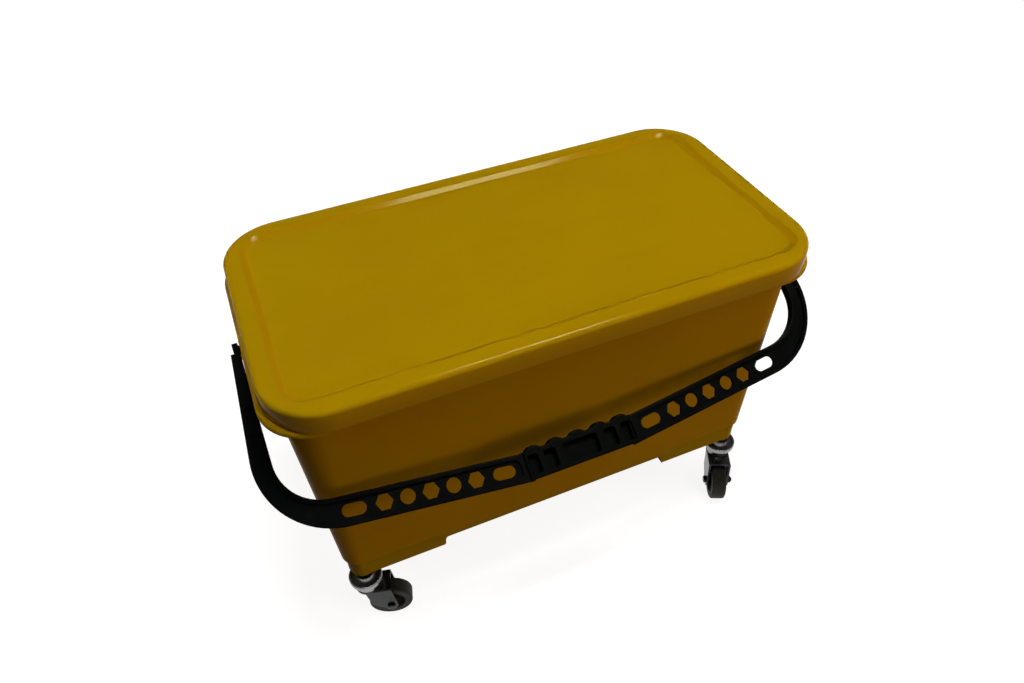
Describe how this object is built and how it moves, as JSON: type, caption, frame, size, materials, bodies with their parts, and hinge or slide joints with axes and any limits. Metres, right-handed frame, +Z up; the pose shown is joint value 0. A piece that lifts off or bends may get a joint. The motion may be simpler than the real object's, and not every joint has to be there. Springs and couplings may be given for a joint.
{
  "type": "mop bucket",
  "caption": "Oblong mop bucket: tapered tub, lift-off lid with a recessed panel, hinged bail handle with a finger grip, swivel casters under the corner feet.",
  "frame": {"origin": "on the floor under the middle of the tub", "axes": "+X along the tub's length, +Y to the back, away from the long side where the handle rests, +Z up"},
  "size_m": [0.5486, 0.2881, 0.3638],
  "materials": {
    "tub_plastic": "moulded yellow, slightly glossy",
    "lid_plastic": "moulded yellow, glossy",
    "handle_plastic": "moulded black, satin",
    "zinc_steel": "bright zinc plate",
    "bearing_steel": "ground, oiled",
    "core_plastic": "moulded dark grey",
    "tyre_rubber": "dark grey rubber, worn matt"
  },
  "bodies": {
    "tub_body": {"tub": "tub_plastic", "front_left_stem_socket": "zinc_steel", "front_left_stem": "zinc_steel", "front_left_bearing_cone": "zinc_steel", "front_left_pintle_washer": "zinc_steel", "front_right_stem_socket": "zinc_steel", "front_right_stem": "zinc_steel", "front_right_bearing_cone": "zinc_steel", "front_right_pintle_washer": "zinc_steel", "rear_left_stem_socket": "zinc_steel", "rear_left_stem": "zinc_steel", "rear_left_bearing_cone": "zinc_steel", "rear_left_pintle_washer": "zinc_steel", "rear_right_stem_socket": "zinc_steel", "rear_right_stem": "zinc_steel", "rear_right_bearing_cone": "zinc_steel", "rear_right_pintle_washer": "zinc_steel"},
    "lid_body": {"lid": "lid_plastic"},
    "handle_body": {"handle": "handle_plastic"},
    "front_left_fork_body": {"front_left_fork": "zinc_steel", "front_left_bearing_cup": "zinc_steel", "front_left_bearing_balls": "bearing_steel", "front_left_axle_bolt": "zinc_steel", "front_left_axle_nut": "zinc_steel", "front_left_axle_bush": "bearing_steel"},
    "front_left_wheel_body": {"front_left_wheel_core": "core_plastic", "front_left_tyre": "tyre_rubber"},
    "front_right_fork_body": {"front_right_fork": "zinc_steel", "front_right_bearing_cup": "zinc_steel", "front_right_bearing_balls": "bearing_steel", "front_right_axle_bolt": "zinc_steel", "front_right_axle_nut": "zinc_steel", "front_right_axle_bush": "bearing_steel"},
    "front_right_wheel_body": {"front_right_wheel_core": "core_plastic", "front_right_tyre": "tyre_rubber"},
    "rear_left_fork_body": {"rear_left_fork": "zinc_steel", "rear_left_bearing_cup": "zinc_steel", "rear_left_bearing_balls": "bearing_steel", "rear_left_axle_bolt": "zinc_steel", "rear_left_axle_nut": "zinc_steel", "rear_left_axle_bush": "bearing_steel"},
    "rear_left_wheel_body": {"rear_left_wheel_core": "core_plastic", "rear_left_tyre": "tyre_rubber"},
    "rear_right_fork_body": {"rear_right_fork": "zinc_steel", "rear_right_bearing_cup": "zinc_steel", "rear_right_bearing_balls": "bearing_steel", "rear_right_axle_bolt": "zinc_steel", "rear_right_axle_nut": "zinc_steel", "rear_right_axle_bush": "bearing_steel"},
    "rear_right_wheel_body": {"rear_right_wheel_core": "core_plastic", "rear_right_tyre": "tyre_rubber"}
  },
  "joints": [
    {"name": "lid_lift", "type": "slide", "parent": "tub_body", "child": "lid_body", "axis": [0, 0, 1], "range_m": [0, 0.1]},
    {"name": "handle_swing", "type": "hinge", "parent": "tub_body", "child": "handle_body", "pos_m": [0, 0, 0.3319], "axis": [-1, 0, 0], "range_deg": [0, 251.6]},
    {"name": "front_left_swivel", "type": "hinge", "parent": "tub_body", "child": "front_left_fork_body", "pos_m": [-0.212, -0.086, 0.0541], "axis": [0, 0, 1], "continuous": true},
    {"name": "front_left_wheel_spin", "type": "hinge", "parent": "front_left_fork_body", "child": "front_left_wheel_body", "pos_m": [-0.19268, -0.09118, 0.0225], "axis": [0.2588, 0.9659, 0], "continuous": true},
    {"name": "front_right_swivel", "type": "hinge", "parent": "tub_body", "child": "front_right_fork_body", "pos_m": [0.212, -0.086, 0.0541], "axis": [0, 0, 1], "continuous": true},
    {"name": "front_right_wheel_spin", "type": "hinge", "parent": "front_right_fork_body", "child": "front_right_wheel_body", "pos_m": [0.20355, -0.10413, 0.0225], "axis": [0.9063, -0.4226, 0], "continuous": true},
    {"name": "rear_left_swivel", "type": "hinge", "parent": "tub_body", "child": "rear_left_fork_body", "pos_m": [-0.212, 0.086, 0.0541], "axis": [0, 0, 1], "continuous": true},
    {"name": "rear_left_wheel_spin", "type": "hinge", "parent": "rear_left_fork_body", "child": "rear_left_wheel_body", "pos_m": [-0.20261, 0.10366, 0.0225], "axis": [-0.8829, 0.4695, 0], "continuous": true},
    {"name": "rear_right_swivel", "type": "hinge", "parent": "tub_body", "child": "rear_right_fork_body", "pos_m": [0.212, 0.086, 0.0541], "axis": [0, 0, 1], "continuous": true},
    {"name": "rear_right_wheel_spin", "type": "hinge", "parent": "rear_right_fork_body", "child": "rear_right_wheel_body", "pos_m": [0.22838, 0.09747, 0.0225], "axis": [-0.5736, 0.8192, 0], "continuous": true}
  ]
}
